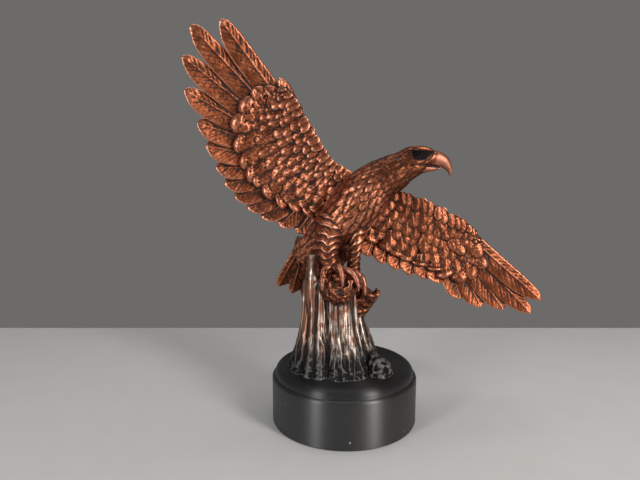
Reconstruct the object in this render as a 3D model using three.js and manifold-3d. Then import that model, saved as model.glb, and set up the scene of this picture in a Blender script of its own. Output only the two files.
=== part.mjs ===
// An eagle with spread wings that grips a broken tree stump, on a round stepped plinth.
// Millimetres, +Z up. The origin is the centre of the plinth's underside, -Y is the front and the
// beak points to +X. The eagle's breast faces the front, its right wing is raised to -X and its
// left wing hangs to +X. The eagle and stump are one casting, and each wing is cast by itself and
// glued to a flat seam at the shoulder.
import * as THREE from "three";
import { mergeVertices } from "three/addons/utils/BufferGeometryUtils.js";
import Module from "manifold-3d";

const wasm = await Module();
wasm.setup();

// Plinth
const PLINTH_DIAMETER = 114;
const PLINTH_BODY_HEIGHT = 37;
const PLINTH_BODY_ROUND = 2.4;
const PLINTH_FOOT_BEVEL = 1.2;
const PLINTH_SHOULDER = 2.5;
const DISC_RISE = 7;
const DISC_ROUND = 5.5;
const DISC_HEIGHT = PLINTH_BODY_HEIGHT + DISC_RISE;
const PLINTH_SIDES = 36;

// Stump, measured from the top of the plinth. It is carved on down by the sink and cut off flat.
const STUMP_HEIGHT = 72;
const STUMP_FOOT_WIDTH = 79;
const STUMP_FOOT_DEPTH = 70;
const STUMP_NECK_WIDTH = 44;
const STUMP_NECK_DEPTH = 37;
const STUMP_FOOT_CENTRE = new THREE.Vector2(-6.5, -4);
const STUMP_NECK_CENTRE = new THREE.Vector2(-9.5, -3);
const STUMP_FLARE = 2.6;
const STUMP_SINK = 4;
const FLUTES = 9;
const FLUTE_DEPTH = 1.6;
const SHARD_RISE = 17;
const KNOT_DIAMETER = 28;
const KNOT_HOLLOW_DEPTH = 5;
const BRANCH_DIAMETER = 18;
const BRANCH_HOLLOW = 11;

// Eagle: its height is from the perch to the raised wing tip
const EAGLE_HEIGHT = 190;
const PRIMARY_WIDTH = 18;
const SECONDARY_WIDTH = 15;
const FLIGHT_THICKNESS = 2.4;
const COVERT_THICKNESS = 2.6;
const WING_ROOT_THICKNESS = 9;
const BREAST_FEATHER = 10;
const TAIL_FEATHERS = 6;
const TAIL_FEATHER_WIDTH = 13;
const SEAM_GAP = 0.3;

// Edges shorter than these are closed up, on the carving and on what is cut or turned
const SHORTEST_CARVED_EDGE = 1.5;
const SHORTEST_CUT_EDGE = 0.12;

const FRONT = new THREE.Vector3(0, -1, 0);
const TURN = 2 * Math.PI;
const point = ([x, y, z]) => new THREE.Vector3(x, y, z);
const join = (solids) => wasm.Manifold.union(solids);

// The wings, as x and z from the shoulder, drawn from the outermost feather to the body. A wing is
// a fan: `lead` is its front edge, `roots` is where the flight feathers leave the coverts and `tips`
// is where they end. The first number of each point is the flight feather that it belongs to.
// bow, cup and sweep bend the fan in depth, along its span, along its feathers and as a whole.
const RIGHT_WING = {
  shoulder: [-8, 6, 66],
  seamNormal: [-0.83, 0, 0.55],
  lead: [[0, -40, 78], [3, -33, 71], [5, -24, 58], [8, -10, 32], [11, 3, 18], [13, 14, 9]],
  roots: [[0, -45, 72], [1, -57, 68], [3, -70, 50], [6, -64, 16], [9, -45, -6], [13, -6, -20]],
  tips: [
    [0, -84, 124],
    [1, -106, 120],
    [2, -113, 98],
    [3, -113, 74],
    [4, -105, 50],
    [6, -92, 16],
    [8, -78, -7],
    [10, -57, -23],
    [12, -29, -35],
    [13, -16, -38],
  ],
  alula: { from: [-29, 56], to: [-43, 85] },
  primaries: 6,
  bow: 9,
  cup: 5,
  sweep: 4,
};
const LEFT_WING = {
  shoulder: [25, 7, 43],
  seamNormal: [0.81, 0, -0.59],
  lead: [[0, 81, -12], [2, 72, -5], [4, 56, 4], [6, 40, 12], [9, 14, 21], [11, 2, 24]],
  roots: [[0, 76, -16], [1, 81, -31], [3, 70, -43], [5, 51, -40], [8, 20, -27], [11, -12, -8]],
  tips: [
    [0, 129, -63],
    [1, 122, -74],
    [2, 102, -72],
    [3, 85, -71],
    [4, 69, -65],
    [5, 51, -53],
    [7, 27, -46],
    [9, 4, -36],
    [11, -18, -24],
  ],
  alula: { from: [66, -9], to: [92, -25] },
  primaries: 6,
  bow: 8,
  cup: 4,
  sweep: -2,
};

// Rows of coverts as shares of the way from the front edge to the roots, on the front and the back
const FRONT_COVERTS = [
  { from: 0, to: 0.3, count: 12 },
  { from: 0.2, to: 0.54, count: 12 },
  { from: 0.42, to: 0.82, count: 11 },
  { from: 0.68, to: 1.16, count: 10 },
];
const BACK_COVERTS = [
  { from: 0, to: 0.5, count: 7 },
  { from: 0.34, to: 0.9, count: 7 },
  { from: 0.7, to: 1.35, count: 7 },
];
// How far past the tips line the flight feathers' blunt ends reach, as a share of their free length
const TIP_REACH = 1.03;

// The body from the tail root to the beak's root, as x, y, z, half width and half depth
const TORSO = [
  [-33, 15, 10, 8, 6],
  [-25, 10, 21, 14, 11],
  [-11, 3, 34, 18, 16],
  [0, -1, 47, 20, 18],
  [12, -3, 61, 19, 17.5],
  [23, -5, 71, 15.5, 14.5],
  [34, -7, 78, 13, 12],
  [43, -8, 83.5, 11.6, 11],
  [51, -8.5, 88, 11, 10.3],
  [59, -9, 90.5, 8.4, 8.6],
  [66, -9, 90, 5.4, 6],
];
const BEAK = [
  [60, -9, 90, 6, 6],
  [67, -9, 89.4, 5.6, 5],
  [72.2, -9, 87, 4.6, 4.2],
  [75.2, -9, 83.6, 3.2, 2.9],
  [76.9, -9, 80.2, 1.9, 1.8],
  [77, -9, 77, 0.8, 0.8],
];
const JAW = [
  [46, -8.6, 82.5, 6.6, 7.4],
  [56, -8.9, 82.6, 4.2, 5.4],
  [65, -9, 82.8, 2.4, 3.4],
  [69.8, -9, 82.8, 1, 1.4],
];
const EYE = [50.8, -16.6, 93.2];
const EYE_RADIUS = 2.2;
const THIGHS = [
  [[-10, -5, 42, 12, 12], [-13, -14, 30, 9, 9], [-13, -19, 19, 7, 7], [-10, -21, 9, 5, 5]],
  [[9, -5, 40, 9, 10], [8, -11, 26, 5, 6], [6, -14, 13, 4.6, 5], [6, -17, 2, 5, 5]],
];
const TOES = [
  [[-10, -21, 10], [-16.5, -26, 7], [-17.5, -29.5, -1]],
  [[-9, -21, 10], [-5, -28, 11.5], [-3, -32, 3]],
  [[-8, -21, 9], [3.5, -27, 8], [8.5, -30, -1]],
  [[6, -17, 3], [12, -21, 2], [14, -23, -6]],
];
const TOE_RADIUS = 2.9;
const TAIL = { root: [-27, 14, 17], left: [-54, 28, -16], right: [2, 40, -30] };

// The eagle's points above are a drawing of it, which grows with its height. A length that is named
// in millimetres keeps its size, so it is brought to the drawing's scale first.
const drawnHeight = RIGHT_WING.shoulder[2] + Math.max(...RIGHT_WING.tips.map(([, , z]) => z));
const growth = EAGLE_HEIGHT / drawnHeight;
const drawn = (length) => length / growth;

// A solid from vertices and triangles, turned to face out
function closedSolid(vertices, index) {
  const make = (order) =>
    new wasm.Manifold(
      new wasm.Mesh({
        numProp: 3,
        vertProperties: new Float32Array(vertices.flatMap((v) => v.toArray())),
        triVerts: new Uint32Array(order),
      }),
    );
  const made = make(index);
  return made.volume() < 0 ? make([...index].reverse()) : made;
}

// A closed body from rings of points, all of one count, with a fan at both ends
function solidOfRings(rings, firstEnd, lastEnd) {
  const count = rings[0].length;
  const vertices = rings.flat();
  const first = vertices.push(firstEnd) - 1;
  const last = vertices.push(lastEnd) - 1;
  const index = [];
  rings.forEach((ring, i) => {
    ring.forEach((_, j) => {
      const a = i * count + j;
      const b = i * count + ((j + 1) % count);
      if (i === 0) index.push(first, b, a);
      if (i === rings.length - 1) index.push(last, a, b);
      else index.push(a, b, b + count, a, b + count, a + count);
    });
  });
  return closedSolid(vertices, index);
}

function solidOfGeometry(geometry) {
  geometry.deleteAttribute("normal");
  geometry.deleteAttribute("uv");
  const merged = mergeVertices(geometry);
  return new wasm.Manifold(
    new wasm.Mesh({
      numProp: 3,
      vertProperties: merged.attributes.position.array,
      triVerts: new Uint32Array(merged.index.array),
    }),
  );
}

// The centre, size and directions of an oval limb at t from 0 to 1 along its stations
function limbPlace(stations) {
  const path = new THREE.CatmullRomCurve3(stations.map(point));
  const sizes = new THREE.CatmullRomCurve3(
    stations.map(([, , , width, depth]) => new THREE.Vector3(width, depth ?? width, 0)),
  );
  return (t) => {
    const across = new THREE.Vector3().crossVectors(path.getTangent(t), FRONT).normalize();
    const deep = new THREE.Vector3().crossVectors(across, path.getTangent(t));
    return { centre: path.getPoint(t), across, deep, size: sizes.getPoint(t) };
  };
}

// A point on a limb's skin at an angle round it, lifted off it by `lift`
function skinPoint({ centre, across, deep, size }, angle, lift = 0) {
  return centre
    .clone()
    .addScaledVector(across, (size.x + lift) * Math.cos(angle))
    .addScaledVector(deep, (size.y + lift) * Math.sin(angle));
}

function limb(stations, sides, steps) {
  const placeAt = limbPlace(stations);
  const rings = [];
  for (let i = 0; i <= steps; i++) {
    const place = placeAt(i / steps);
    rings.push(Array.from({ length: sides }, (_, j) => skinPoint(place, (j / sides) * TURN)));
  }
  return solidOfRings(rings, placeAt(0).centre, placeAt(1).centre);
}

// A flight feather through places { centre, across, out }: a blade with a ridge and a blunt tip,
// whose leading vane is narrower than its trailing one where the feather is wide
const BLADE_STEPS = [0, 0.45, 0.84, 0.95, 1];
const BLADE_OUTLINE = [0.8, 1, 0.82, 0.5];
const BLADE_TILT = -0.12;
const VANE_LEAN = 0.55;
function blade(placeAt, width, thickness) {
  const rings = BLADE_OUTLINE.map((share, i) => {
    const { centre, across, out } = placeAt(BLADE_STEPS[i]);
    const half = (width / 2) * share;
    const lean = VANE_LEAN * (share - BLADE_OUTLINE.at(-1));
    const edge = (side) =>
      centre
        .clone()
        .addScaledVector(across, side * half * (1 - side * lean))
        .addScaledVector(out, side * half * BLADE_TILT);
    const ridge = (side) => centre.clone().addScaledVector(out, side * thickness * 0.5);
    return [edge(1), ridge(1), edge(-1), ridge(-1)];
  });
  return solidOfRings(rings, placeAt(0).centre, placeAt(1).centre);
}

// A scale-like feather: an outline round a crown, sunk at its root and lifted at its tip
const SCALE_OUTLINE = [[0, 0.3], [0.55, 0.5], [0.88, 0.32]];
function scale(placeAt, width, thickness) {
  const rim = (step, share) => {
    const { centre, across, out } = placeAt(step);
    return centre
      .clone()
      .addScaledVector(across, share * width)
      .addScaledVector(out, thickness * (step - 0.5));
  };
  const outline = [
    ...SCALE_OUTLINE.map(([step, share]) => rim(step, share)),
    rim(1, 0),
    ...[...SCALE_OUTLINE].reverse().map(([step, share]) => rim(step, -share)),
  ];
  const { centre, out } = placeAt(0.62);
  const crown = centre.clone().addScaledVector(out, thickness);
  const keel = centre.clone().addScaledVector(out, -thickness);
  return solidOfRings([outline], keel, crown);
}

// Places along a straight feather from root to tip
function straightLine(root, tip, face) {
  const along = new THREE.Vector3().subVectors(tip, root);
  const across = new THREE.Vector3().crossVectors(along, face).normalize();
  const out = new THREE.Vector3().crossVectors(across, along).normalize();
  return (t) => ({ centre: root.clone().addScaledVector(along, t), across, out });
}

// A curve through [feather, x, z] points that is read by feather number
function featherCurve(list) {
  const curve = new THREE.CatmullRomCurve3(list.map(([, x, z]) => new THREE.Vector3(x, 0, z)));
  return (feather) => {
    const after = Math.max(1, list.findIndex(([knot]) => knot >= feather - 1e-9));
    const [start, end] = [list[after - 1][0], list[after][0]];
    return curve.getPoint((after - 1 + (feather - start) / (end - start)) / (list.length - 1));
  };
}

// A wing's middle surface: t is 0 at the outermost feather and 1 in the body, and k is 0 on the
// front edge, 1 on the roots line and 2 at the feather tips
function wingSurface(wing) {
  const [lead, roots, tips] = [wing.lead, wing.roots, wing.tips].map(featherCurve);
  const lastFeather = wing.tips.at(-1)[0];
  const reach = Math.hypot(wing.tips[0][1], wing.tips[0][2]);
  return (t, k) => {
    const n = THREE.MathUtils.clamp(t, 0, 1) * lastFeather;
    const [near, far, share] = k <= 1 ? [lead, roots, k] : [roots, tips, k - 1];
    const place = near(n).lerp(far(n), share);
    const outward = Math.min(1, Math.hypot(place.x, place.z) / reach);
    place.y =
      drawn(wing.bow) * Math.sin(Math.PI * outward) +
      drawn(wing.cup) * Math.sin((Math.PI * Math.max(0, k)) / 2) +
      drawn(wing.sweep) * outward;
    return place.add(point(wing.shoulder));
  };
}

// Centre and directions at (t, k) on a wing: `out` leaves the front face for side 1, the back for -1
function wingPlace(surface, t, k, side) {
  const step = 0.02;
  const along = surface(t, k + step).sub(surface(t, k - step)).normalize();
  const across = surface(t - step, k).sub(surface(t + step, k));
  const out = new THREE.Vector3().crossVectors(along, across).normalize();
  if (out.dot(FRONT) * side < 0) out.negate();
  across.addScaledVector(along, -across.dot(along)).normalize();
  return { centre: surface(t, k), across, out };
}

// Half the thickness of the arm and skin under the coverts
const skinDepth = (t, k) =>
  (drawn(WING_ROOT_THICKNESS) / 2) * (1 - 0.55 * k) * (0.6 + 0.4 * t);

function wingCore(surface) {
  const spans = 8;
  const chord = [0.02, 0.16, 0.6, 1.15];
  const edgeOf = (k) => Math.min(1, 0.5 + 3 * k);
  const rings = [];
  for (let i = 0; i <= spans; i++) {
    const t = i / spans;
    const face = (side) =>
      chord.map((k) => {
        const { centre, out } = wingPlace(surface, t, k, side);
        return centre.addScaledVector(out, skinDepth(t, k) * edgeOf(k));
      });
    rings.push([...face(1), ...face(-1).reverse()]);
  }
  return solidOfRings(rings, surface(0, 0.6), surface(1, 0.6));
}

function flightFeathers(wing, surface) {
  const last = wing.tips.at(-1)[0];
  return Array.from({ length: last + 1 }, (_, feather) => {
    const placeAt = (step) => wingPlace(surface, feather / last, 0.75 + 1.25 * TIP_REACH * step, 1);
    const width = feather < wing.primaries ? PRIMARY_WIDTH : SECONDARY_WIDTH;
    return blade(placeAt, drawn(width), drawn(FLIGHT_THICKNESS));
  });
}

function coverts(surface, rows, side) {
  return rows.flatMap(({ from, to, count }, row) =>
    Array.from({ length: count }, (_, i) => {
      const t = 0.04 + (0.96 * (i + (row % 2 ? 0.75 : 0.25))) / count;
      const placeAt = (step) => {
        const k = from + (to - from) * step;
        const place = wingPlace(surface, t, k, side);
        place.centre.addScaledVector(place.out, skinDepth(t, k) + 0.2);
        return place;
      };
      const spacing = surface(t - 0.5 / count, to).distanceTo(surface(t + 0.5 / count, to));
      return scale(placeAt, spacing * 1.15, drawn(COVERT_THICKNESS));
    }),
  );
}

// The small stiff feather that stands off the back of the wrist
function alula(wing) {
  const [x, y, z] = wing.shoulder;
  const behind = y + drawn(wing.bow + wing.cup);
  const at = ([dx, dz]) => new THREE.Vector3(x + dx, behind, z + dz);
  const face = new THREE.Vector3(0, 1, 0);
  return blade(straightLine(at(wing.alula.from), at(wing.alula.to), face), 9, 6);
}

function wingSolid(wing) {
  const surface = wingSurface(wing);
  return join([
    wingCore(surface),
    ...flightFeathers(wing, surface),
    ...coverts(surface, FRONT_COVERTS, 1),
    ...coverts(surface, BACK_COVERTS, -1),
    alula(wing),
  ]);
}

// A box that stands on a wing's seam: side 1 reaches out along the wing, -1 into the body
function seamBox(wing, side, [chord, depth, reach]) {
  const box = new THREE.BoxGeometry(chord, depth, reach);
  box.translate(-0.1 * chord, 0, (reach - drawn(SEAM_GAP)) / 2);
  const out = point(wing.seamNormal).normalize().multiplyScalar(side);
  const chordwise = new THREE.Vector3().crossVectors(out, FRONT).normalize();
  if (chordwise.z < 0) chordwise.negate();
  const deep = new THREE.Vector3().crossVectors(out, chordwise);
  const frame = new THREE.Matrix4().makeBasis(chordwise, deep, out);
  frame.setPosition(point(wing.shoulder));
  return solidOfGeometry(box.applyMatrix4(frame));
}
const SEAM_SPACE = [78, 38, 44];
const BEYOND_SEAM = [400, 400, 200];

// The body's side of a seam, which carries the wing's whole root
function shoulderBoss(wing) {
  const out = point(wing.seamNormal).normalize();
  const station = (reach, width, depth) => [
    ...point(wing.shoulder).addScaledVector(out, reach).toArray(),
    width,
    depth,
  ];
  return limb([station(-18, 17, 13), station(-4, 22, 9), station(4, 23, 7)], 12, 2);
}

// Rings of overlapping feathers on the body, from `top` down its stations. Odd rows are shifted.
function bodyFeathers() {
  const placeAt = limbPlace(TORSO);
  const rows = [
    { at: 0.74, length: 0.15, count: 9, width: 8 },
    { at: 0.64, length: 0.13, count: 9, width: 9 },
    { at: 0.55, length: 0.1, count: 10, width: BREAST_FEATHER },
    { at: 0.47, length: 0.1, count: 11, width: BREAST_FEATHER },
    { at: 0.39, length: 0.1, count: 11, width: BREAST_FEATHER },
    { at: 0.31, length: 0.1, count: 10, width: BREAST_FEATHER },
    { at: 0.22, length: 0.1, count: 9, width: BREAST_FEATHER },
  ];
  return rows.flatMap(({ at, length, count, width }, row) =>
    Array.from({ length: count }, (_, i) => {
      const angle = ((i + (row % 2) / 2) / count) * TURN;
      const root = skinPoint(placeAt(at), angle);
      const tip = skinPoint(placeAt(at - length), angle, 0.4);
      const face = skinPoint(placeAt(at), angle, 1).sub(root);
      return scale(straightLine(root, tip, face), drawn(width), 2);
    }),
  );
}

function headDetails() {
  const parts = [limb(BEAK, 10, 6), limb(JAW, 8, 4)];
  const [middle, eyeX, eyeZ] = [-8.6, EYE[0], EYE[2]];
  for (const side of [1, -1]) {
    const y = middle + side * (EYE[1] - middle);
    const eye = new THREE.IcosahedronGeometry(EYE_RADIUS, 0);
    parts.push(solidOfGeometry(eye.translate(eyeX, y + side, eyeZ)));
    const browRoot = new THREE.Vector3(eyeX - 7, y + side * 0.6, eyeZ + 2.4);
    const browTip = new THREE.Vector3(eyeX + 12, middle - side * 5, eyeZ + 2.2);
    const face = new THREE.Vector3(0, -side, 0.8);
    parts.push(blade(straightLine(browRoot, browTip, face), 4.6, 3));
  }
  return parts;
}

function tailFeathers() {
  const [root, left, right] = [TAIL.root, TAIL.left, TAIL.right].map(point);
  const face = new THREE.Vector3(-0.2, -1, -0.4);
  return Array.from({ length: TAIL_FEATHERS }, (_, i) => {
    const share = i / (TAIL_FEATHERS - 1);
    const tip = left.clone().lerp(right, share);
    tip.z -= 7 * Math.sin(Math.PI * share);
    const start = root.clone().add(new THREE.Vector3(16 * (share - 0.5), 5 * share, 2));
    return blade(straightLine(start, tip, face), drawn(TAIL_FEATHER_WIDTH), 4);
  });
}

function eagleSolid() {
  const toe = (line) => limb(line.map((p, i) => [...p, TOE_RADIUS * (1 - 0.32 * i)]), 6, 4);
  return join([
    limb(TORSO, 14, 14),
    ...bodyFeathers(),
    ...headDetails(),
    ...tailFeathers(),
    ...THIGHS.map((stations) => limb(stations, 9, 4)),
    ...TOES.map(toe),
    shoulderBoss(RIGHT_WING),
    shoulderBoss(LEFT_WING),
  ]);
}

// The trunk, fluted and flared at the foot
function trunk() {
  const sides = FLUTES * 4;
  const levels = [0, 0.07, 0.2, 0.42, 0.7, 1];
  const rings = levels.map((level) => {
    const flare = Math.pow(1 - level, STUMP_FLARE);
    const centre = STUMP_NECK_CENTRE.clone().lerp(STUMP_FOOT_CENTRE, flare);
    const halfWidth = THREE.MathUtils.lerp(STUMP_NECK_WIDTH, STUMP_FOOT_WIDTH, flare) / 2;
    const halfDepth = THREE.MathUtils.lerp(STUMP_NECK_DEPTH, STUMP_FOOT_DEPTH, flare) / 2;
    return Array.from({ length: sides }, (_, j) => {
      const angle = (j / sides) * TURN;
      const wave = Math.cos(FLUTES * angle + 1.4 * Math.sin(2 * angle) + 1.2 * level);
      const groove = FLUTE_DEPTH * (1 + 0.7 * flare) * wave;
      return new THREE.Vector3(
        centre.x + (halfWidth + groove) * Math.cos(angle),
        centre.y + (halfDepth + groove) * Math.sin(angle),
        THREE.MathUtils.lerp(-STUMP_SINK, STUMP_HEIGHT, level),
      );
    });
  });
  const endAt = ({ x, y }, z) => new THREE.Vector3(x, y, z);
  return solidOfRings(
    rings,
    endAt(STUMP_FOOT_CENTRE, -STUMP_SINK),
    endAt(STUMP_NECK_CENTRE, STUMP_HEIGHT),
  );
}

// The broken knot under the claws, a rough disc that faces the front
function knot() {
  const half = KNOT_DIAMETER / 2;
  const top = STUMP_HEIGHT;
  const boss = limb(
    [
      [-8, -2, top - 16, half * 0.7, half * 0.8],
      [-5, -16, top - 7, half * 0.9, half * 0.95],
      [-4, -28, top - 2, half, half],
    ],
    14,
    3,
  );
  const mouth = [-4, -28 - KNOT_HOLLOW_DEPTH, top + KNOT_HOLLOW_DEPTH * 0.3];
  const floor = [-4, -28 + KNOT_HOLLOW_DEPTH, top - 2];
  return boss.subtract(limb([[...floor, half * 0.4], [...mouth, half * 0.8]], 8, 1));
}

// The hollow end of a branch to the right of the knot
function branch() {
  const top = STUMP_HEIGHT;
  const half = BRANCH_DIAMETER / 2;
  const hollow = BRANCH_HOLLOW / 2;
  const wood = limb(
    [
      [0, -2, top - 44, half * 0.9],
      [9, -6, top - 26, half * 0.95],
      [17, -11, top - 8, half],
    ],
    12,
    3,
  );
  return wood.subtract(limb([[13, -10, top - 14, hollow * 0.6], [18, -17, top, hollow]], 8, 1));
}

function stumpSolid() {
  const top = STUMP_HEIGHT;
  const shard = [
    [-24, -4, top - 34, 6, 5],
    [-25, -5, top - 6, 6, 5],
    [-24.5, -4, top + SHARD_RISE, 3.4, 2.6],
  ];
  const backWall = [[-6, 6, top - 20, 13, 9], [-3, 6, top + 4, 12, 8], [-1, 6, top + 22, 9, 6]];
  const backRoot = [[19, 12, -6, 11, 13], [17, 11, 15, 7, 8], [14, 9, 29, 4, 4]];
  const lump = [[27, -20, -5, 12, 12], [25, -20, 6, 8, 8], [21, -17, 15, 3, 3]];
  return join([
    trunk(),
    knot(),
    branch(),
    limb(shard, 7, 3),
    limb(backWall, 8, 2),
    limb(backRoot, 9, 3),
    limb(lump, 8, 2),
  ]);
}

// The plinth: a turned cylinder with a rounded shoulder and a round-edged disc on top
function plinthGeometry() {
  const radius = PLINTH_DIAMETER / 2;
  const disc = radius - PLINTH_SHOULDER;
  const profile = new THREE.Path();
  profile.moveTo(0, 0);
  profile.lineTo(radius - PLINTH_FOOT_BEVEL, 0);
  profile.lineTo(radius, PLINTH_FOOT_BEVEL);
  const shoulderLevel = PLINTH_BODY_HEIGHT - PLINTH_BODY_ROUND;
  profile.absarc(radius - PLINTH_BODY_ROUND, shoulderLevel, PLINTH_BODY_ROUND, 0, TURN / 4);
  const discLevel = DISC_HEIGHT - DISC_ROUND;
  profile.absarc(disc - DISC_ROUND, discLevel, DISC_ROUND, 0, TURN / 4);
  profile.lineTo(0, DISC_HEIGHT);
  return new THREE.LatheGeometry(profile.getPoints(2), PLINTH_SIDES).rotateX(TURN / 4);
}

// Closes up edges shorter than `limit`, where the skin stays whole and no face turns over
function closeShortEdges(points, faces, limit) {
  const facesAt = points.map(() => new Set());
  faces.forEach((face, i) => face.forEach((v) => facesAt[v].add(i)));
  const neighbours = (v) => new Set([...facesAt[v]].flatMap((i) => faces[i]));
  const normal = (corners) =>
    new THREE.Triangle(...corners.map((v) => points[v])).getNormal(new THREE.Vector3());
  const canClose = (keep, drop) => {
    const shared = [...facesAt[drop]].filter((i) => facesAt[keep].has(i));
    const common = [...neighbours(keep)].filter((v) => neighbours(drop).has(v));
    if (shared.length !== 2 || common.length !== 4) return false;
    return [...facesAt[drop]].every((i) => {
      if (shared.includes(i)) return true;
      const moved = faces[i].map((v) => (v === drop ? keep : v));
      return normal(moved).dot(normal(faces[i])) > 0.5;
    });
  };
  const close = (keep, drop) => {
    for (const i of [...facesAt[drop]]) {
      if (faces[i].includes(keep)) {
        faces[i].forEach((v) => facesAt[v].delete(i));
        faces[i] = null;
      } else {
        faces[i] = faces[i].map((v) => (v === drop ? keep : v));
        facesAt[keep].add(i);
      }
    }
    facesAt[drop].clear();
  };
  for (let i = 0; i < faces.length; i++) {
    for (let corner = 0; faces[i] && corner < 3; corner++) {
      const [a, b] = [faces[i][corner], faces[i][(corner + 1) % 3]];
      if (points[a].distanceTo(points[b]) > limit) continue;
      if (canClose(a, b)) close(a, b);
      else if (canClose(b, a)) close(b, a);
    }
  }
  return faces.filter(Boolean);
}

// The points and faces of a solid's outer skin. Closed pockets between its feathers are filled, and
// edges shorter than `shortest` are closed up.
function outerSkin(solid, shortest) {
  const outer = solid.decompose().sort((a, b) => b.volume() - a.volume())[0];
  const { vertProperties, triVerts, numProp } = outer.getMesh();
  const points = [];
  for (let i = 0; i < vertProperties.length; i += numProp) {
    points.push(point(vertProperties.subarray(i, i + 3)));
  }
  const faces = [];
  for (let i = 0; i < triVerts.length; i += 3) faces.push([...triVerts.subarray(i, i + 3)]);
  return { points, faces: closeShortEdges(points, faces, shortest) };
}

function carved(solid) {
  const { points, faces } = outerSkin(solid, SHORTEST_CARVED_EDGE);
  return closedSolid(points, faces.flat());
}

function meshOf(solid, name, material) {
  const { points, faces } = outerSkin(solid, SHORTEST_CUT_EDGE);
  const corners = faces.flat().map((v) => points[v]);
  const geometry = mergeVertices(new THREE.BufferGeometry().setFromPoints(corners));
  geometry.computeVertexNormals();
  const mesh = new THREE.Mesh(geometry, material);
  mesh.name = name;
  return mesh;
}

const copper = new THREE.MeshStandardMaterial({ color: 0x8a4a2c, roughness: 0.38, metalness: 0.85 });
const black = new THREE.MeshStandardMaterial({ color: 0x1c1c1c, roughness: 0.55, metalness: 0 });

// The eagle stands on the stump's top
const perch = [0, 0, STUMP_HEIGHT];
const placed = (solid) => solid.scale(growth).translate(perch);

function eagleOnStump() {
  const underside = new THREE.BoxGeometry(200, 200, 40).translate(0, 0, -20);
  return carved(join([stumpSolid(), placed(eagleSolid())]))
    .subtract(placed(seamBox(RIGHT_WING, 1, SEAM_SPACE)))
    .subtract(placed(seamBox(LEFT_WING, 1, SEAM_SPACE)))
    .subtract(solidOfGeometry(underside));
}
const castWing = (wing) =>
  carved(placed(wingSolid(wing))).subtract(placed(seamBox(wing, -1, BEYOND_SEAM)));

const sculpture = new THREE.Group();
sculpture.position.z = DISC_HEIGHT;
sculpture.add(meshOf(eagleOnStump(), "eagle_on_stump", copper));
sculpture.add(meshOf(castWing(RIGHT_WING), "right_wing", copper));
sculpture.add(meshOf(castWing(LEFT_WING), "left_wing", copper));

const part = new THREE.Group();
part.add(meshOf(solidOfGeometry(plinthGeometry()), "plinth", black));
part.add(sculpture);

export default part;
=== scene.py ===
"""The looks of a cast eagle on a broken stump and a round plinth: carving, patina and studio."""

import bpy
import numpy as np
from mathutils import Euler, Matrix, Vector, kdtree


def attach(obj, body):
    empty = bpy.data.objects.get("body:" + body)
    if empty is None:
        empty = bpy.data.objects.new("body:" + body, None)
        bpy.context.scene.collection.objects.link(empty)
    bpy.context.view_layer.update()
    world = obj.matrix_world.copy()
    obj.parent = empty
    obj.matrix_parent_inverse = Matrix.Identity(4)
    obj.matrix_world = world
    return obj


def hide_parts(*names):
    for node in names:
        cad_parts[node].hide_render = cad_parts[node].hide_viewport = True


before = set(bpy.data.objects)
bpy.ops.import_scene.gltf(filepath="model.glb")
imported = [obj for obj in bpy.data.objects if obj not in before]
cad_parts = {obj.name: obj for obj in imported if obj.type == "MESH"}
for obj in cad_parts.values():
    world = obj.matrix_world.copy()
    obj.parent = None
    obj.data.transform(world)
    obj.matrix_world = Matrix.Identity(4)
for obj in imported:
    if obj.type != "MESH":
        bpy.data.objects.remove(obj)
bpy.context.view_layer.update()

# Shapes are made in millimetres, in the frame's own axes, and brought to metres at the end.
MM = 0.001
VOXEL = 0.45
MOST_TRIANGLES = 194_000

# Plinth
PLINTH_RADIUS = 57.0
PLINTH_BODY_HEIGHT = 37.0
PLINTH_BODY_ROUND = 2.4
PLINTH_FOOT_BEVEL = 1.2
PLINTH_SHOULDER = 2.5
DISC_ROUND = 5.5
DISC_HEIGHT = 44.0
PLINTH_SPECKS = [((-44.8, -35.5, 25.8), 0.6), ((42.7, -37.6, 5.8), 0.6), ((2, -57, 6.9), 0.8)]

# Stump
STUMP_HEIGHT = 72.0
STUMP_FOOT = (79.0, 70.0)
STUMP_NECK = (44.0, 37.0)
STUMP_FOOT_CENTRE = (-6.5, -4.0)
STUMP_NECK_CENTRE = (-9.5, -3.0)
STUMP_FLARE = 2.6
STUMP_SINK = 4.0
PERCH = np.array([0.0, 0.0, DISC_HEIGHT + STUMP_HEIGHT])
FOOT = np.array([0.0, 0.0, DISC_HEIGHT])

# Eagle, from the perch
SECONDARY_WIDTH = 15.0
FLIGHT_THICKNESS = 2.7
FLIGHT_START = 0.75
TIP_REACH = 1.03
ALULA_SIZE = (9, 5)
WING_ROOT_THICKNESS = 9.0
WING_CORE_END = 0.98
COVERT_THICKNESS = 2.6
COVERT_OVERLAP = 1.16
CROWN_WIDTH = 11
SHORTEST_COVERT = 3.4
BARBED_COVERT = 10
COVERT_BEYOND = 11.0
COVERT_RISE = 2.4
WRIST_RISE = 3.6
WRIST_THICKNESS = 3.0
SEAM_GAP = 0.3
HEAD_MIDDLE = -8.6

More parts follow.
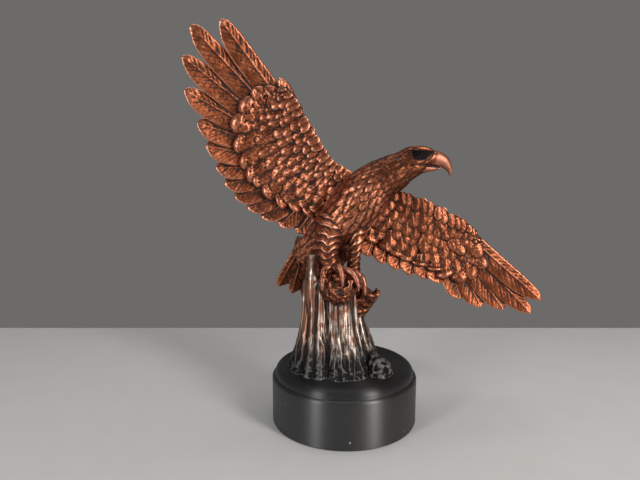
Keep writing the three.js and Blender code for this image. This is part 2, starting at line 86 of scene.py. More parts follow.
# Rows of coverts: where each starts and ends as a share of the way from the front edge to the
# flight feathers' roots, how many it has at most, and how high their crowns are
RAISED_COVERTS = [
    (-0.02, 0.15, 22, 1.6), (0.07, 0.27, 21, 1.8), (0.18, 0.4, 20, 1.9), (0.3, 0.54, 18, 2.0),
    (0.43, 0.69, 17, 2.1), (0.56, 0.86, 15, 2.2), (0.7, 1.08, 14, 2.3), (0.87, 1.26, 13, 2.4),
]
HANGING_COVERTS = [
    (-0.02, 0.2, 20, 1.7), (0.12, 0.36, 19, 1.9), (0.27, 0.52, 18, 2.1), (0.42, 0.68, 17, 2.2),
    (0.57, 0.84, 16, 2.3), (0.72, 1.02, 15, 2.4), (0.86, 1.42, 14, 2.5),
]
BACK_COVERTS = [
    (-0.02, 0.25, 14, 1.2), (0.16, 0.48, 13, 1.3), (0.36, 0.74, 12, 1.4),
    (0.6, 1.02, 11, 1.5), (0.86, 1.36, 11, 1.6),
]

# Points are x and z from the shoulder. "lead" is the front edge, "roots" the line where the flight
# feathers leave the coverts and "tips" their ends, each with its feather's number. "wrist" holds
# round coverts with their widths. "bow", "cup" and "sweep" bend the wing front to back, and each
# row has "share" of its most coverts.
RIGHT_WING = {
    "shoulder": (-8, 6, 66),
    "seam": (-0.83, 0, 0.55),
    "lead": [(0, -40, 78), (3, -33, 71), (5, -24, 58), (8, -10, 32), (11, 3, 18), (13, 14, 9)],
    "roots": [(0, -45, 72), (1, -57, 68), (3, -70, 50), (6, -64, 16), (9, -45, -6), (13, -6, -20)],
    "tips": [
        (0, -84, 124), (1, -106, 120), (2, -113, 98), (3, -113, 74), (4, -105, 50),
        (6, -92, 16), (8, -78, -7), (10, -57, -23), (12, -29, -35), (13, -16, -38),
    ],
    "alula": ((-29, 56), (-43, 85)),
    "wrist": [((-33, 59), (-52, 68.5), 11), ((-40, 71), (-54, 77), 8)],
    "primaries": 6,
    "bow": 9,
    "cup": 5,
    "sweep": 4,
    "coverts": RAISED_COVERTS,
    "share": 0.92,
    "width": 18.0,
    "seed": 11,
}
LEFT_WING = {
    "shoulder": (25, 7, 43),
    "seam": (0.81, 0, -0.59),
    "lead": [(0, 81, -12), (2, 72, -5), (4, 56, 4), (6, 40, 12), (9, 14, 21), (11, 2, 24)],
    "roots": [(0, 76, -16), (1, 81, -31), (3, 70, -43), (5, 51, -40), (8, 20, -27), (11, -12, -8)],
    "tips": [
        (0, 129, -63), (1, 122, -74), (2, 102, -72), (3, 85, -71), (4, 69, -65),
        (5, 51, -53), (7, 27, -46), (9, 4, -36), (11, -18, -24),
    ],
    "alula": ((66, -9), (92, -25)),
    "wrist": [
        ((57, -9), (66, -15), 8.5),
        ((64, -14), (73.5, -21.5), 8.5),
        ((61, -20), (71, -29), 9.0),
        ((69, -18), (81, -28), 8.0),
    ],
    "primaries": 6,
    "bow": 8,
    "cup": 4,
    "sweep": -2,
    "coverts": HANGING_COVERTS,
    "share": 0.8,
    "width": 15.8,
    "seed": 23,
}

# Limbs' stations are x, y, z, half width and half depth
TORSO = [
    (-33, 15, 10, 8, 6), (-25, 10, 21, 14, 11), (-10, 3, 33.2, 16.4, 16),
    (1.3, -1, 46.1, 17.6, 18), (12.7, -3, 60.5, 17.8, 17.5), (23, -5, 71, 15.5, 14.5),
    (34, -7, 78, 13, 12), (43, -8, 83.5, 11.6, 11), (51, -8.5, 88, 11, 10.3),
    (59, -9, 90.5, 8.4, 8.6), (66, -9, 90, 5.4, 6),
]
BEAK = [
    (60, -9, 90, 6, 6), (67, -9, 89.4, 5.6, 5), (72.2, -9, 87, 4.6, 4.2),
    (75.2, -9, 83.6, 3.2, 2.9), (76.9, -9, 80.2, 1.9, 1.8), (77, -9, 77, 0.8, 0.8),
]
JAW = [
    (46, -8.6, 82.5, 6.6, 7.4), (56, -8.9, 82.6, 4.2, 5.4),
    (65, -9, 82.8, 2.4, 3.4), (69.8, -9, 82.8, 1, 1.4),
]
EYE = (50.6, -16.5, 93.2)
EYE_RADIUS = 2.6
BROW = [
    (42, -13.4, 95.2, 1.0), (49, -16.4, 96.9, 1.8),
    (58, -15.2, 96.4, 1.7), (65.5, -12.4, 93.9, 0.7),
]
THIGHS = [
    [(-10, -5, 42, 12, 12), (-13, -14, 30, 9, 9), (-13, -19, 19, 7, 7), (-10, -21, 9, 5, 5)],
    [(9, -5, 40, 9, 10), (8, -11, 26, 5, 6), (6, -14, 13, 4.6, 5), (6, -17, 2, 5, 5)],
]
THIGH_ROWS = (7.5, 8.0)
THIGH_TWISTS = (0, 1)
TOES = [
    [(-10, -21, 10), (-16.5, -26, 7), (-17.5, -29.5, -1)],
    [(-9, -21, 10), (-5, -28, 11.5), (-3, -32, 3)],
    [(-8, -21, 9), (3.5, -27, 8), (8.5, -30, -1)],
    [(6, -17, 3), (12, -21, 2), (14, -23, -6)],
]
TOE_RADIUS = 2.9
TAIL_ROOT, TAIL_LEFT, TAIL_RIGHT = np.array([(-27, 14, 17), (-54, 28, -16), (2, 40, -30)], float)
TAIL_FEATHERS = 6
TAIL_FEATHER_WIDTH = 13.0
TAIL_FEATHER_THICKNESS = 3.4
TAIL_DIP = 7
TAIL_ROOT_SPREAD = (16, 5)
# How far out along the wing, half width and half depth of the smooth root in a shoulder
BOSS = [(-20, 14, 8), (-9, 18, 3.4), (4, 19, 1.4)]
BOSS_FEATHERS = 0.66

# What a shell is made of, for its colours
PLUMAGE, QUILL, WOOD, KNOT, BURR, EYEBALL, HORN = KINDS = range(7)

FRONT = np.array([0.0, -1.0, 0.0])
TURN = 2 * np.pi


def unit(v):
    return v / np.maximum(np.linalg.norm(v, axis=-1, keepdims=True), 1e-9)


def smooth(x):
    x = np.clip(x, 0, 1)
    return x * x * (3 - 2 * x)


class Curve:
    """An open centripetal Catmull-Rom curve through rows of numbers, read at t from 0 to 1."""

    def __init__(self, points):
        p = np.asarray(points, float)
        self.points = np.vstack([2 * p[0] - p[1], p, 2 * p[-1] - p[-2]])
        self.spans = len(p) - 1

    def __call__(self, t):
        x = np.clip(np.asarray(t, float), 0, 1) * self.spans
        i = np.minimum(x.astype(int), self.spans - 1)
        w = (x - i)[..., None]
        a, b, c, d = (self.points[i + j] for j in range(4))
        before, here, after = (
            np.sqrt(np.maximum(np.linalg.norm(q - p, axis=-1, keepdims=True), 1e-8))
            for p, q in ((a, b), (b, c), (c, d))
        )
        start = ((b - a) / before - (c - a) / (before + here) + (c - b) / here) * here
        end = ((c - b) / here - (d - b) / (here + after) + (d - c) / after) * here
        return (
            b
            + start * w
            + (3 * (c - b) - 2 * start - end) * w**2
            + (2 * (b - c) + start + end) * w**3
        )


def lattice(cells, seed):
    """A fixed number from -1 to 1 for each cell of a lattice."""
    h = (cells * np.array([73856093, 19349663, 83492791])).sum(-1) + seed * 2654435761
    h = (h & 0xFFFFFFFF).astype(np.uint64)
    h = ((h ^ (h >> np.uint64(13))) * np.uint64(1274126177)) & np.uint64(0xFFFFFFFF)
    return ((h ^ (h >> np.uint64(16))) & np.uint64(0xFFFF)).astype(float) / 32767.5 - 1


def noise(points, size, seed=0):
    """Smooth noise from -1 to 1 with lumps of `size`, a number or one for each axis."""
    p = np.asarray(points) / np.asarray(size, float)
    cell = np.floor(p).astype(np.int64)
    w = smooth(p - cell)
    total = 0
    for corner in np.ndindex(2, 2, 2):
        share = np.prod(np.where(np.array(corner) == 1, w, 1 - w), axis=-1)
        total = total + share * lattice(cell + np.array(corner), seed)
    return total


def round_grid(levels, sides):
    """Each level with each angle of one turn."""
    return np.meshgrid(levels, np.arange(sides) / sides * TURN, indexing="ij")


def tube(rings):
    """Points and triangles of the closed shell through rings of points, (rings, points, 3)."""
    n, m = rings.shape[:2]
    points = np.vstack([rings.reshape(-1, 3), rings[0].mean(0), rings[-1].mean(0)])
    i, j = (g.ravel() for g in np.meshgrid(np.arange(n - 1), np.arange(m), indexing="ij"))
    a, b = i * m + j, i * m + (j + 1) % m
    ring, after = np.arange(m), (np.arange(m) + 1) % m
    first, last = np.full(m, n * m), np.full(m, n * m + 1)
    faces = [
        np.c_[a, b, b + m],
        np.c_[a, b + m, a + m],
        np.c_[first, after, ring],
        np.c_[last, ring + (n - 1) * m, after + (n - 1) * m],
    ]
    return points, np.vstack(faces)


class Clay:
    """Closed shells that are later melted into one skin."""

    def __init__(self):
        self.points, self.faces, self.kinds, self.count = [], [], [], 0

    def add(self, rings, kind, origin=PERCH):
        points, faces = tube(rings + origin)
        self.points.append(points)
        self.faces.append(faces + self.count)
        self.kinds.append(np.full(len(points), kind))
        self.count += len(points)

    def merged(self):
        return np.vstack(self.points), np.vstack(self.faces), np.concatenate(self.kinds)


# Limbs: ovals along a path


def limb_place(stations):
    """What gives a limb's centre, its way across, its way deep and its half sizes at t."""
    rows = np.array([s if len(s) == 5 else (*s, s[3]) for s in stations], float)
    path = Curve(rows[:, :3])
    sizes = Curve(np.c_[rows[:, 3:], np.zeros(len(rows))])

    def place(t):
        tangent = unit(path(t + 1e-4) - path(t - 1e-4))
        across = unit(np.cross(tangent, FRONT))
        return path(t), across, np.cross(across, tangent), sizes(t)

    return place


def skin(place, angle, lift=0.0):
    """The points of a limb's skin at an angle round it, raised by lift."""
    centre, across, deep, size = place
    wide = ((size[..., 0] + lift) * np.cos(angle))[..., None]
    far = ((size[..., 1] + lift) * np.sin(angle))[..., None]
    return centre + across * wide + deep * far


def limb(clay, stations, kind, sides=40, steps=60, relief=None, origin=PERCH):
    place = limb_place(stations)
    t, angle = round_grid(np.linspace(0, 1, steps), sides)
    lift = relief(t, angle) if relief else np.zeros_like(t)
    clay.add(skin(place(t), angle, lift), kind, origin)


# Feathers


def barbs(s, y, length, style, phase):
    """The shaft's ridge and the slanted grooves of the barbs."""
    ridge, cut, spacing, slant, edge = style
    away = np.abs(y)
    run = (s[:, None] * length - slant * away) / spacing + phase
    run = run + 0.25 * np.sin(run * 1.7 + 3 * phase)
    uneven = 0.65 + 0.35 * np.sin(run * 2.3 + 5 * phase) * np.sin(0.9 * away + phase)
    groove = uneven * (0.5 + 0.5 * np.cos(TURN * run)) ** 3 * (1 - np.exp(-((away / 1.1) ** 2)))
    groove = groove * (edge + (1 - edge) * np.exp(-((away / 5.0) ** 2)))
    fade = np.clip(1.15 - s[:, None], 0, 1)
    return ridge * np.exp(-((away / 0.55) ** 2)) * fade - cut * groove


# How a feather is tooled: the height of its shaft, then the depth of its barbs' grooves, how far
# apart and how slanted they are, and what is left of them at the edge
FLIGHT = (0.8, 0.6, 4.3, 1.3, 0.3)
SCALE = (0.35, 0.5, 2.8, 1.3, 1.0)
PEBBLE = (0.15, 0.2, 2.4, 1.3, 1.0)
STREAK = (0.35, 0.3, 2.4, 2.6, 1.0)
ROOT_SHARE = 0.8
WIDEST = 0.45
VANE_LEAN = 0.55


def blade(clay, place, width, thickness, length, phase, tilt=-0.2):
    """A long flight feather with a narrow leading vane and a blunt tip. place(s) gives its centre,
    the way across it and the way out."""
    along = int(np.clip(length / 0.5, 30, 200))
    close = 1 - 0.1 * (1 - np.linspace(0, 1, 13)[1:]) ** 1.8
    s = np.r_[np.linspace(0, 0.9, along), close]
    taper = (1 - np.clip((s - WIDEST) / (1 - WIDEST), 0, 1) ** 4.5) ** 0.7
    share = (ROOT_SHARE + (1 - ROOT_SHARE) * np.sin(np.pi / 2 * np.minimum(1, s / WIDEST))) * taper
    v = np.sin(np.linspace(-np.pi / 2, np.pi / 2, 41))[None]
    rim = np.sqrt(1 - (1 - v**2) * taper[:, None] ** 2)
    outline = width / 2 * share[:, None]
    y = outline * (v - np.abs(v) * VANE_LEAN * np.maximum(0, share[:, None] - 0.5))
    centre, across, out = (g[:, None] for g in place(s))
    full = np.sqrt(1 - rim**8)
    body = full * thickness / 2 * (1 - 0.32 * np.abs(v) ** 1.6)
    bead = 0.3 * np.exp(-(((v - 0.86) / 0.12) ** 2)) * full
    carved = barbs(s, y, length, FLIGHT, phase) * full
    tilt = tilt * smooth((s[:, None] - 0.12) / 0.45)
    leaning = centre + across * y[..., None]
    top = leaning + out * (body + carved + bead + tilt * y)[..., None]
    bottom = leaning - out * (body + 0.7 * carved - tilt * y)[..., None]
    clay.add(np.concatenate([top, bottom[:, -2:0:-1]], axis=1), QUILL)


def scale(clay, place, width, thickness, length, phase, crown, style=SCALE, sink=2.2):
    """A short puffy feather that lies on the ones below it, lifted at its tip."""
    along = int(np.clip(length / 0.8, 6, 20))
    turn = np.linspace(0, 1.53, max(5, along // 2))[1:]
    s = np.r_[np.linspace(0, 0.5, along), 0.5 + 0.5 * np.sin(turn)]
    tip = np.r_[np.zeros(along), np.sin(turn)]
    outline = 0.62 + 0.38 * np.sin(np.pi / 2 * np.minimum(1, s / WIDEST))
    outline = width / 2 * outline * np.sqrt(1 - tip**2)
    v = np.sin(np.linspace(-np.pi / 2, np.pi / 2, 15))
    rim = np.sqrt(1 - (1 - v[None] ** 2) * (1 - tip[:, None] ** 2))
    centre, across, out = (g[:, None] for g in place(s))
    y = v[None] * outline[:, None]
    lift = thickness * (s[:, None] - 0.5)
    dome = crown * (1 - rim**2.6) ** 0.75
    top = centre + across * y[..., None]
    high = top + out * (lift + dome + barbs(s, y, length, style, phase) * (1 - rim**6))[..., None]
    inner = [-2, -5, -8, -11, -14]
    low = top[:, inner] * 0.999 + 0.001 * centre - out * (sink - lift)[..., None]
    clay.add(np.concatenate([high, low], axis=1), PLUMAGE)


def straight(root, tip, face):
    """A straight feather's place(s) and its length, with its front turned to face."""
    root, tip = np.array(root, float), np.array(tip, float)
    along = tip - root
    across = unit(np.cross(along, face))
    out = unit(np.cross(across, along))

    def place(s):
        centre = root + np.asarray(s)[:, None] * along
        return centre, np.tile(across, (len(s), 1)), np.tile(out, (len(s), 1))

    return place, float(np.linalg.norm(along))


# Wings: t is 0 at the outermost feather and 1 in the body; k is 0 on the front edge, 1 where the
# flight feathers leave the coverts and 2 at their tips


def feather_curve(rows):
    knots = [row[0] for row in rows]
    curve = Curve([(x, 0, z) for _, x, z in rows])
    return lambda n: curve(np.interp(n, knots, np.arange(len(rows))) / (len(rows) - 1))


def wing_surface(wing):
    lead, roots, tips = (feather_curve(wing[edge]) for edge in ("lead", "roots", "tips"))
    last = wing["tips"][-1][0]
    reach = np.hypot(*wing["tips"][0][1:])

    def surface(t, k):
        t, k = np.broadcast_arrays(np.asarray(t, float), np.asarray(k, float))
        n = np.clip(t, 0, 1) * last
        a, b, c = lead(n), roots(n), tips(n)
        inner = (k <= 1)[..., None]
        near, far = np.where(inner, a, b), np.where(inner, b, c)
        place = near + (far - near) * np.where(inner, k[..., None], k[..., None] - 1)
        outward = np.minimum(1, np.hypot(place[..., 0], place[..., 2]) / reach)
        place[..., 1] = (
            wing["bow"] * np.sin(np.pi * outward)
            + wing["cup"] * np.sin(np.pi / 2 * np.maximum(0, k))
            + wing["sweep"] * outward
        )
        return place + np.array(wing["shoulder"], float)

    return surface


def wing_place(surface, t, k, side):
    """The point, the way across and the way out of the front, side 1, or the back, side -1."""
    step = 0.02
    along = unit(surface(t, k + step) - surface(t, k - step))
    across = surface(t - step, k) - surface(t + step, k)
    out = unit(np.cross(along, across))
    out = np.where((out @ FRONT * side < 0)[..., None], -out, out)
    across = unit(across - along * (across * along).sum(-1, keepdims=True))
    return surface(t, k), across, out


def skin_depth(t, k):
    """How far the wing's skin lies from its middle surface."""
    return WING_ROOT_THICKNESS / 2 * (1 - 0.55 * k) * (0.6 + 0.4 * t)


def wing_core(clay, surface, first=0.0):
    """The body of the wing under its coverts, from the outermost feather or from t = first."""
    t = np.linspace(first, 1, 90)[:, None]
    k = np.r_[0.0, 0.01, 0.03, np.linspace(0.06, WING_CORE_END, 22)][None]
    faces = []
    for side in (1, -1):
        centre, _, out = wing_place(surface, t + 0 * k, k + 0 * t, side)
        depth = skin_depth(t, k) * np.sqrt(np.clip((k + 0.004) / 0.18, 0, 1))
        depth = depth * np.clip((1.0 - k) / 0.4, 0.05, 1)
        faces.append(centre + out * depth[..., None])
    clay.add(np.concatenate([faces[0], faces[1][:, ::-1]], axis=1), PLUMAGE)


def coverts(clay, surface, rows, side, rng, share, first=0.0):
    """Rows of short feathers that overlap, the last ones standing over the flight feathers."""
    for row, (start, end, most, crown) in enumerate(rows):
        count = round(most * share)
        for i in range(-1, count + 1):
            jitter = rng.uniform(-1, 1, 6)
            t = 0.02 + 0.98 * (i + (0.75 if row % 2 else 0.25) + 0.22 * jitter[0]) / count
            if not first <= t <= 1.02:
                continue
            k0 = start + 0.02 * jitter[1]
            beyond = np.linalg.norm(surface(t, 2.0) - surface(t, 1.0))
            k1 = min(end + 0.03 * jitter[2], 1 + COVERT_BEYOND / beyond)
            gap = np.linalg.norm(surface(t - 0.5 / count, end) - surface(t + 0.5 / count, end))
            length = float(np.linalg.norm(surface(t, k1) - surface(t, k0)))
            if length < SHORTEST_COVERT:
                continue
            twist = 0.22 * jitter[3]
            style = SCALE if length > BARBED_COVERT else PEBBLE

            def place(s):
                k = k0 + (k1 - k0) * s
                centre, across, out = wing_place(surface, t + 0 * s, k, side)
                depth = skin_depth(t, np.minimum(k, 1.1)) + 0.2 + 0.25 * jitter[4]
                depth = depth + COVERT_RISE * smooth((k - 0.8) / 0.35)
                centre = centre + across * (twist * length * s)[:, None]
                return centre + out * np.broadcast_to(depth, s.shape)[:, None], across, out

            width = gap * (COVERT_OVERLAP + 0.18 * jitter[5])
            dome = crown * width / CROWN_WIDTH
            scale(clay, place, width, COVERT_THICKNESS, length, jitter[0] * 3, dome, style)


def flight_feathers(clay, wing, surface, rng, first=0.0):
    last = wing["tips"][-1][0]
    reach = (2 - FLIGHT_START) * TIP_REACH
    for feather in range(last + 1):
        t = feather / last
        if t < first:
            continue
        ends = surface(t, np.array([FLIGHT_START, FLIGHT_START + reach]))
        length = float(np.linalg.norm(ends[1] - ends[0]))
        width = wing["width"] if feather < wing["primaries"] else SECONDARY_WIDTH

        def place(s):
            return wing_place(surface, t + 0 * s, FLIGHT_START + reach * s, 1)

        blade(clay, place, width, FLIGHT_THICKNESS, length, rng.uniform(0, 3))


def alula(clay, wing):
    x, y, z = wing["shoulder"]
    behind = y + wing["bow"] + wing["cup"]
    root, tip = ((x + a, behind, z + b) for a, b in wing["alula"])
    place, length = straight(root, tip, (0, 1, 0))
    blade(clay, place, *ALULA_SIZE, length, 0.4)


def wrist_coverts(clay, wing, surface):
    """The round coverts that end the rows at the wrist, over the first flight feathers' roots."""
    x, _, z = wing["shoulder"]
    front = surface(0.06, 0.8)[1] - WRIST_RISE
    for root, tip, width in wing["wrist"]:
        root, tip = ((x + a, front, z + b) for a, b in (root, tip))
        place, length = straight(root, tip, (0, -1, 0))
        scale(clay, place, width, WRIST_THICKNESS, length, 0.4, 0.2 * width, sink=5)


def wing_clay(wing, clay=None, first=0.0):
    """The shells of a wing from t = first inwards, new or added to the clay given."""
    clay = clay or Clay()
    surface = wing_surface(wing)
    rng = np.random.default_rng(wing["seed"])
    wing_core(clay, surface, first)
    coverts(clay, surface, wing["coverts"], 1, rng, wing["share"], first)
    coverts(clay, surface, BACK_COVERTS, -1, rng, wing["share"], first)
    flight_feathers(clay, wing, surface, rng, first)
    if first == 0:
        wrist_coverts(clay, wing, surface)
        alula(clay, wing)
    return clay


# Body


def skin_scales(clay, place, rows, rng, lift, crown, style=SCALE):
    """Overlapping feathers round a limb: rows of (start, length along the limb, count, width)."""
    for row, (at, long, count, width) in enumerate(rows):
        for i in range(count):
            jitter = rng.uniform(-1, 1, 4)
            angle = (i + (row % 2) / 2 + 0.15 * jitter[0]) / count * TURN
            start = at + 0.12 * long * jitter[1]
            sway = 0.12 * jitter[2]

            def lie(s, angle=angle, start=start, sway=sway):
                t = start - long * s
                turned = angle + sway * s
                on = skin(place(t), turned, lift)
                out = unit(skin(place(t), turned, lift + 1.0) - on)
                ahead = skin(place(t - 0.01), turned, lift) - skin(place(t + 0.01), turned, lift)
                return on, unit(np.cross(ahead, out)), out

            ends = lie(np.array([0.0, 1.0]))[0]
            length = float(np.linalg.norm(ends[1] - ends[0]))
            size = width * (1 + 0.12 * jitter[3])
            scale(clay, lie, size, 1.7, length, 2 * jitter[3], crown, style, 1.8)


def body_clay(clay):
    """The torso: streaks on the neck, round scales on the breast, others by the tail."""
    rng = np.random.default_rng(5)
    limb(clay, TORSO, PLUMAGE, 64, 120, lambda t, a: -0.8 + 0 * t)
    torso = limb_place(TORSO)
    rows = [(at, 0.17, 14, 4.6) for at in (0.9, 0.855, 0.81, 0.765, 0.72)]
    skin_scales(clay, torso, rows, rng, -0.9, 0.7, STREAK)
    starts = np.arange(0.68, 0.2, -0.041)
    rows = [(at, 0.082, int(15 + 4 * np.sin(np.pi * (0.75 - at) / 0.6)), 7.6) for at in starts]
    skin_scales(clay, torso, rows, rng, -0.5, 1.6)
    rows = [(at, 0.09, 13, 6.6) for at in (0.21, 0.175, 0.14, 0.105, 0.07, 0.04)]
    skin_scales(clay, torso, rows, rng, -0.3, 1.2)


def head_clay(clay):
    limb(clay, BEAK, HORN, 40, 60)
    limb(clay, JAW, HORN, 30, 30)
    for side in (1, -1):
        mirrored = lambda y: HEAD_MIDDLE + side * (y - HEAD_MIDDLE)
        limb(clay, [(x, mirrored(y), z, r) for x, y, z, r in BROW], PLUMAGE, 16, 24)
        x, y, z = EYE
        eyeball(clay, (x, mirrored(y), z))


def eyeball(clay, centre):
    turn, angle = round_grid(np.linspace(0.02, np.pi - 0.02, 14), 20)
    way = np.stack([np.sin(turn) * np.cos(angle), np.sin(turn) * np.sin(angle), np.cos(turn)], -1)
    clay.add(np.array(centre, float) + EYE_RADIUS * way, EYEBALL)


def chevrons(rows, depth, slope, twist):
    """Rows of V-shaped feathers that overlap down the front of a leg, with fine barbs."""

    def relief(t, angle):
        away = (angle - TURN / 4 + np.pi) % TURN - np.pi
        away = twist * away + (1 - twist) * np.abs(away)
        run = t * rows + slope * away + 0.12 * np.sin(4 * angle + 9 * t)
        step = run - np.floor(run)
        barb = 0.16 * np.cos(TURN * 3 * (t * rows + 1.6 * slope * away))
        return depth * (smooth(step / 0.8) * (1 - smooth((step - 0.82) / 0.18)) - 0.5) + barb

    return relief


def leg_clay(clay):
    for stations, rows, twist in zip(THIGHS, THIGH_ROWS, THIGH_TWISTS):
        limb(clay, stations, PLUMAGE, 60, 150, chevrons(rows, 1.25, 0.7, twist))
    for line in TOES:
        stations = [(*p, TOE_RADIUS * (1 - 0.26 * i)) for i, p in enumerate(line)]
        x, y, z = line[-1]
        stations.append((x + 0.2, y - 0.4, z - 5, 0.5))
        limb(clay, stations, HORN, 16, 40, lambda t, a: 0.4 * np.abs(np.sin(14 * t)) * (t < 0.6))


def tail_clay(clay):
    for i in range(TAIL_FEATHERS):
        share = i / (TAIL_FEATHERS - 1)
        tip = TAIL_LEFT + (TAIL_RIGHT - TAIL_LEFT) * share
        tip[2] -= TAIL_DIP * np.sin(np.pi * share)
        wide, deep = TAIL_ROOT_SPREAD
        start = TAIL_ROOT + np.array([wide * (share - 0.5), deep * share, 2])
        place, length = straight(start, tip, (-0.2, -1, -0.4))
        blade(clay, place, TAIL_FEATHER_WIDTH, TAIL_FEATHER_THICKNESS, length, i, 0.2)


def boss_clay(clay, wing):
    """The body's side of a shoulder: a smooth root under the wing's own innermost feathers."""
    out = unit(np.array(wing["seam"], float))
    stations = []
    for reach, width, depth in BOSS:
        stations.append((*(np.array(wing["shoulder"], float) + out * reach), width, depth))
    limb(clay, stations, PLUMAGE, 40, 20)
    wing_clay(wing, clay, BOSS_FEATHERS)


# Stump, from the top of the plinth


# Deep grooves and ridges down the trunk: their angle in degrees, half width and depth in mm
TRUNK_GROOVES = [
    (-106, 6.5, 4.2), (-124, 4.5, 1.8), (-143, 5, 2.8), (-165, 6, 2.4), (-50, 4.5, 2.0),
    (-33, 5.5, 3.0), (-80, 3, 0.6), (-14, 6, 2.2), (10, 6, 2.6), (38, 7, 3.0),
    (66, 6, 2.2), (95, 7, 3.2), (124, 6, 2.4), (152, 7, 2.8),
]


def trunk(clay):
    level, angle = round_grid(np.linspace(0, 1, 120), 300)
    flare = (1 - level) ** STUMP_FLARE
    mix = lambda foot, neck: neck + (foot - neck) * flare
    groove = 0.6 + 0 * level
    for degrees, half, depth in TRUNK_GROOVES:
        bend = np.radians(degrees + 5 * np.sin(3 * level + degrees) * (1 - level))
        off = np.abs((angle - bend + np.pi) % TURN - np.pi) / np.radians(half)
        groove = groove - depth * np.exp(-(off**2)) * (1 + 0.5 * flare)
    groove = groove - 5 * np.clip((level - 0.92) / 0.08, 0, 1) ** 2
    x = mix(STUMP_FOOT_CENTRE[0], STUMP_NECK_CENTRE[0])
    y = mix(STUMP_FOOT_CENTRE[1], STUMP_NECK_CENTRE[1])
    x = x + (mix(STUMP_FOOT[0], STUMP_NECK[0]) / 2 + groove) * np.cos(angle)
    y = y + (mix(STUMP_FOOT[1], STUMP_NECK[1]) / 2 + groove) * np.sin(angle)
    z = -STUMP_SINK + (STUMP_HEIGHT + STUMP_SINK) * level
    clay.add(np.stack([x, y, z], -1), WOOD, FOOT)


def cup(clay, stations, hollow):
    """A limb whose end is hollow: out along its skin, over the rim and back down inside. hollow
    gives the inside's share of the width and how far it goes down."""
    sides = 40
    place = limb_place(stations)
    outer = np.linspace(0, 1, 40)
    inner = np.linspace(1, 1 - hollow[1], 14)
    angle = np.arange(sides) / sides * TURN
    rings = [skin(place(np.full(sides, t)), angle) for t in outer]
    for i, t in enumerate(inner):
        centre, across, deep, size = place(np.full(sides, t))
        share = hollow[0] * (1 - 0.35 * (i / (len(inner) - 1)) ** 2)
        rings.append(skin((centre, across, deep, size * share), angle))
    clay.add(np.stack(rings), KNOT, FOOT)


# Curled lips of bark round the knot, from the perch
KNOT_CURLS = [
    [(-11, -25, 12, 1.6), (-15.4, -27.5, 9.5, 1.9), (-16, -28, 4.6, 1.8), (-14, -27.5, 0.6, 1.3)],
    [(5, -25, 10, 1.5), (8.8, -27, 6, 1.9), (9.8, -27, 0.6, 1.9), (7.4, -27, -4.5, 1.4)],
    [(-9, -27, -1, 2.2), (-6, -28, 2.5, 2.6), (-1.5, -27.5, 3.5, 2.2)],
    [(2.5, -27.5, 2, 2.4), (1, -28, -4, 2.6), (-2, -27.5, -8, 2.2)],
]


def stump_clay(clay):
    """The trunk, the knot under the claws, the hollow branch, the shard, a root and the lump."""
    top = STUMP_HEIGHT
    trunk(clay)
    half = 14.0
    knot = [
        (-8, -2, top - 16, half * 0.7, half * 0.8),
        (-5, -16, top - 7, half * 0.84, half * 0.9),
        (-4.2, -23.5, top - 3.5, half * 0.85, half * 0.85),
        (-4, -27.6, top - 2, half * 0.58, half * 0.58),
    ]
    limb(clay, knot, KNOT, origin=FOOT)
    for curl in KNOT_CURLS:
        limb(clay, curl, KNOT, 16, 30)
    half = 8.6
    branch = [
        (0, -2, top - 44, half * 0.9),
        (8, -5, top - 27, half * 0.95),
        (16, -9, top - 13, half),
        (18.5, -13, top - 6.5, half),
    ]
    cup(clay, branch, (0.62, 0.22))
    shard = [
        (-23, -7, top - 34, 7, 8),
        (-24.6, -9, top - 8, 6.4, 8),
        (-24.5, -7.5, top + 6, 5, 5.4),
        (-24.5, -5, top + 17, 3.6, 3),
    ]
    limb(clay, shard, WOOD, origin=FOOT)
    back = [(-6, 6, top - 20, 13, 9), (-3, 6, top + 4, 12, 8), (-1, 6, top + 22, 9, 6)]
    limb(clay, back, KNOT, origin=FOOT)
    root = [(19, 12, -6, 11, 13), (17, 11, 15, 7, 8), (14, 9, 29, 4, 4)]
    limb(clay, root, WOOD, origin=FOOT)
    lump = [(27, -20, -5, 12, 12), (25, -20, 6, 8, 8), (21, -17, 15, 3, 3)]
    limb(clay, lump, BURR, origin=FOOT)


# Meshes


def new_object(name, data):
    obj = bpy.data.objects.new(name, data)
    bpy.context.scene.collection.objects.link(obj)
    return obj


def mesh_object(name, points, faces):
    mesh = bpy.data.meshes.new(name)
    mesh.vertices.add(len(points))
    mesh.vertices.foreach_set("co", np.asarray(points, np.float32).ravel())
    mesh.loops.add(faces.size)
    mesh.loops.foreach_set("vertex_index", faces.ravel().astype(np.int32))
    mesh.polygons.add(len(faces))
    mesh.polygons.foreach_set("loop_start", np.arange(0, faces.size, 3, dtype=np.int32))
    mesh.update(calc_edges=True)
    return new_object(name, mesh)


def to_metres(obj, sharpest):
    """Brings a mesh to metres and smooths it, but for edges over so many degrees."""
    obj.data.transform(Matrix.Scale(MM, 4))
    obj.data.shade_smooth()
    obj.data.set_sharp_from_angle(angle=np.radians(sharpest))


def bake_modifiers(obj):
    mesh = bpy.data.meshes.new_from_object(obj.evaluated_get(bpy.context.evaluated_depsgraph_get()))
    obj.modifiers.clear()
    old, obj.data = obj.data, mesh
    bpy.data.meshes.remove(old)


def vectors_of(mesh, key):
    """One vector for each point: its place for "co", its way out for "normal"."""
    vectors = np.empty(len(mesh.vertices) * 3, np.float32)
    mesh.vertices.foreach_get(key, vectors)
    return vectors.reshape(-1, 3).astype(float)


def edges_of(mesh):
    edges = np.empty(len(mesh.edges) * 2, np.int32)
    mesh.edges.foreach_get("vertices", edges)
    return edges.reshape(-1, 2)


